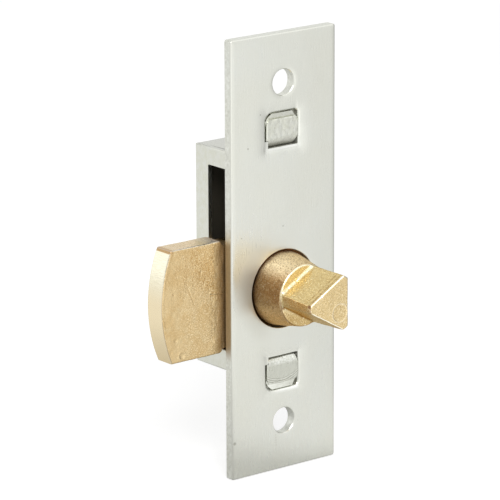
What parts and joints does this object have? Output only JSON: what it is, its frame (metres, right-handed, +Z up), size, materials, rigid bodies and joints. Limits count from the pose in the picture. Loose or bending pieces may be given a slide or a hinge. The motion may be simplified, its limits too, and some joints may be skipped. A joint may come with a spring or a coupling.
{
  "type": "quarter-turn mortise lock",
  "caption": "Mortise lock with a flat steel faceplate and a brass bolt that a triangular key turns a quarter turn out of its folded steel case.",
  "frame": {"origin": "centre of the faceplate's front face, midway between the two fixing holes", "axes": "+Z up along the faceplate, -Y out of the plate towards the key, -X the way the thrown bolt points"},
  "size_m": [0.0466, 0.0312, 0.1],
  "materials": {
    "plated_plate": "nickel plated, fine brushed grain",
    "plated_sheet": "nickel plated sheet, satin",
    "forged_brass": "rough forged, machined tip",
    "spring_steel": "oil blackened"
  },
  "bodies": {
    "lock_case": {"faceplate": "plated_plate", "case": "plated_sheet", "detent_spring": "spring_steel"},
    "turning_bolt": {"bolt": "forged_brass"}
  },
  "joints": [
    {"name": "bolt_turn", "type": "hinge", "parent": "lock_case", "child": "turning_bolt", "pos_m": [0, 0, -0.0081], "axis": [0, 1, 0], "range_deg": [0, 90]}
  ]
}
